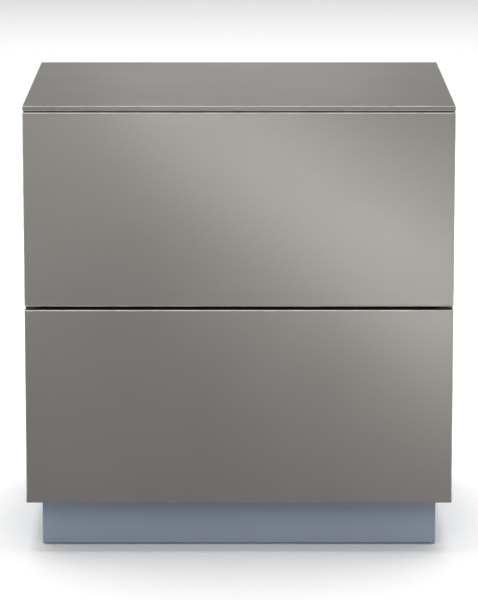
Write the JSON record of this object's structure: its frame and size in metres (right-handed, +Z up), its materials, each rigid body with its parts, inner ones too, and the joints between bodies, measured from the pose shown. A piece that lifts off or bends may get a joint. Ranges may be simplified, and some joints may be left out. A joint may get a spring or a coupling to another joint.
{
  "type": "nightstand",
  "caption": "Handleless bedside cabinet with two push-to-open drawers on ball-bearing runners, a thin flush cover plate and a recessed plinth.",
  "frame": {"origin": "on the floor, under the centre of the bounding box", "axes": "+Z up, +X to the right across the drawer fronts, and the fronts face -Y"},
  "size_m": [0.5, 0.42, 0.53],
  "materials": {
    "lacquer_top": "satin warm-grey lacquer on a thin compact board",
    "lacquer_front": "warm-grey metallic lacquer with a blurred sheen, on MDF",
    "lacquer_carcass": "satin warm-grey lacquer on particle board",
    "hardboard": "thin fibre board, grey lacquer inside and bare brown outside",
    "plinth_foil": "satin blue-grey foil on particle board",
    "raw_wood": "planed pine",
    "dowel_wood": "fluted beech",
    "clear_pad": "clear soft pad",
    "glide_plastic": "black plastic",
    "zinc_casting": "bare zinc casting",
    "zinc_screw": "bright zinc plating",
    "drawer_linen": "light grey linen-embossed foil on particle board",
    "runner_steel": "zinc-plated rolled steel",
    "cage_steel": "pressed steel cage with polished balls",
    "latch_grey": "dark grey plastic",
    "latch_white": "white plastic",
    "magnet_nickel": "nickel-plated steel",
    "spring_steel": "bright spring wire"
  },
  "bodies": {
    "carcass": {"top_cover": "lacquer_top", "cover_pads": "clear_pad", "carcass_top": "lacquer_carcass", "carcass_bottom": "lacquer_carcass", "side_left": "lacquer_carcass", "side_right": "lacquer_carcass", "back_panel": "hardboard", "cam_locks": "zinc_casting", "cam_bolts": "zinc_screw", "carcass_dowels": "dowel_wood", "plinth_front": "plinth_foil", "plinth_back": "plinth_foil", "plinth_left": "plinth_foil", "plinth_right": "plinth_foil", "plinth_blocks": "raw_wood", "plinth_screws": "zinc_screw", "floor_glides": "glide_plastic", "runner_outer_upper_left": "runner_steel", "runner_outer_upper_right": "runner_steel", "runner_outer_lower_left": "runner_steel", "runner_outer_lower_right": "runner_steel", "runner_outer_screws": "zinc_screw", "latch_barrel_upper": "latch_grey", "latch_barrel_lower": "latch_grey", "latch_springs": "spring_steel"},
    "upper_plunger": {"latch_plunger_upper": "latch_white", "latch_magnet_upper": "magnet_nickel"},
    "upper_drawer": {"upper_front": "lacquer_front", "upper_box_left": "drawer_linen", "upper_box_right": "drawer_linen", "upper_box_front": "drawer_linen", "upper_box_back": "drawer_linen", "upper_box_bottom": "drawer_linen", "upper_box_dowels": "dowel_wood", "upper_screws": "zinc_screw", "upper_catch_plate": "magnet_nickel", "runner_inner_upper_left": "runner_steel", "runner_inner_upper_right": "runner_steel"},
    "upper_runner_middle": {"runner_middle_upper_left": "runner_steel", "runner_middle_upper_right": "runner_steel"},
    "upper_outer_cages": {"ball_cages_outer_upper": "cage_steel"},
    "upper_inner_cages": {"ball_cages_inner_upper": "cage_steel"},
    "lower_plunger": {"latch_plunger_lower": "latch_white", "latch_magnet_lower": "magnet_nickel"},
    "lower_drawer": {"lower_front": "lacquer_front", "lower_box_left": "drawer_linen", "lower_box_right": "drawer_linen", "lower_box_front": "drawer_linen", "lower_box_back": "drawer_linen", "lower_box_bottom": "drawer_linen", "lower_box_dowels": "dowel_wood", "lower_screws": "zinc_screw", "lower_catch_plate": "magnet_nickel", "runner_inner_lower_left": "runner_steel", "runner_inner_lower_right": "runner_steel"},
    "lower_runner_middle": {"runner_middle_lower_left": "runner_steel", "runner_middle_lower_right": "runner_steel"},
    "lower_outer_cages": {"ball_cages_outer_lower": "cage_steel"},
    "lower_inner_cages": {"ball_cages_inner_lower": "cage_steel"}
  },
  "joints": [
    {"name": "upper_latch_press", "type": "slide", "parent": "carcass", "child": "upper_plunger", "axis": [0, -1, 0], "range_m": [-0.0025, 0.02], "stiffness_N_per_m": 150},
    {"name": "upper_drawer_slide", "type": "slide", "parent": "upper_plunger", "child": "upper_drawer", "axis": [0, -1, 0], "range_m": [0, 0.33]},
    {"name": "upper_runner_middle_slide", "type": "slide", "parent": "carcass", "child": "upper_runner_middle", "axis": [0, -1, 0], "range_m": [0, 0.165]},
    {"name": "upper_outer_cages_roll", "type": "slide", "parent": "carcass", "child": "upper_outer_cages", "axis": [0, -1, 0], "range_m": [0, 0.0825]},
    {"name": "upper_inner_cages_roll", "type": "slide", "parent": "carcass", "child": "upper_inner_cages", "axis": [0, -1, 0], "range_m": [0, 0.2475]},
    {"name": "lower_latch_press", "type": "slide", "parent": "carcass", "child": "lower_plunger", "axis": [0, -1, 0], "range_m": [-0.0025, 0.02], "stiffness_N_per_m": 150},
    {"name": "lower_drawer_slide", "type": "slide", "parent": "lower_plunger", "child": "lower_drawer", "axis": [0, -1, 0], "range_m": [0, 0.33]},
    {"name": "lower_runner_middle_slide", "type": "slide", "parent": "carcass", "child": "lower_runner_middle", "axis": [0, -1, 0], "range_m": [0, 0.165]},
    {"name": "lower_outer_cages_roll", "type": "slide", "parent": "carcass", "child": "lower_outer_cages", "axis": [0, -1, 0], "range_m": [0, 0.0825]},
    {"name": "lower_inner_cages_roll", "type": "slide", "parent": "carcass", "child": "lower_inner_cages", "axis": [0, -1, 0], "range_m": [0, 0.2475]}
  ],
  "couplings": [
    {"joint": "upper_runner_middle_slide", "follows": "upper_drawer_slide", "ratio": 0.5},
    {"joint": "upper_outer_cages_roll", "follows": "upper_drawer_slide", "ratio": 0.25},
    {"joint": "upper_inner_cages_roll", "follows": "upper_drawer_slide", "ratio": 0.75},
    {"joint": "lower_runner_middle_slide", "follows": "lower_drawer_slide", "ratio": 0.5},
    {"joint": "lower_outer_cages_roll", "follows": "lower_drawer_slide", "ratio": 0.25},
    {"joint": "lower_inner_cages_roll", "follows": "lower_drawer_slide", "ratio": 0.75}
  ]
}
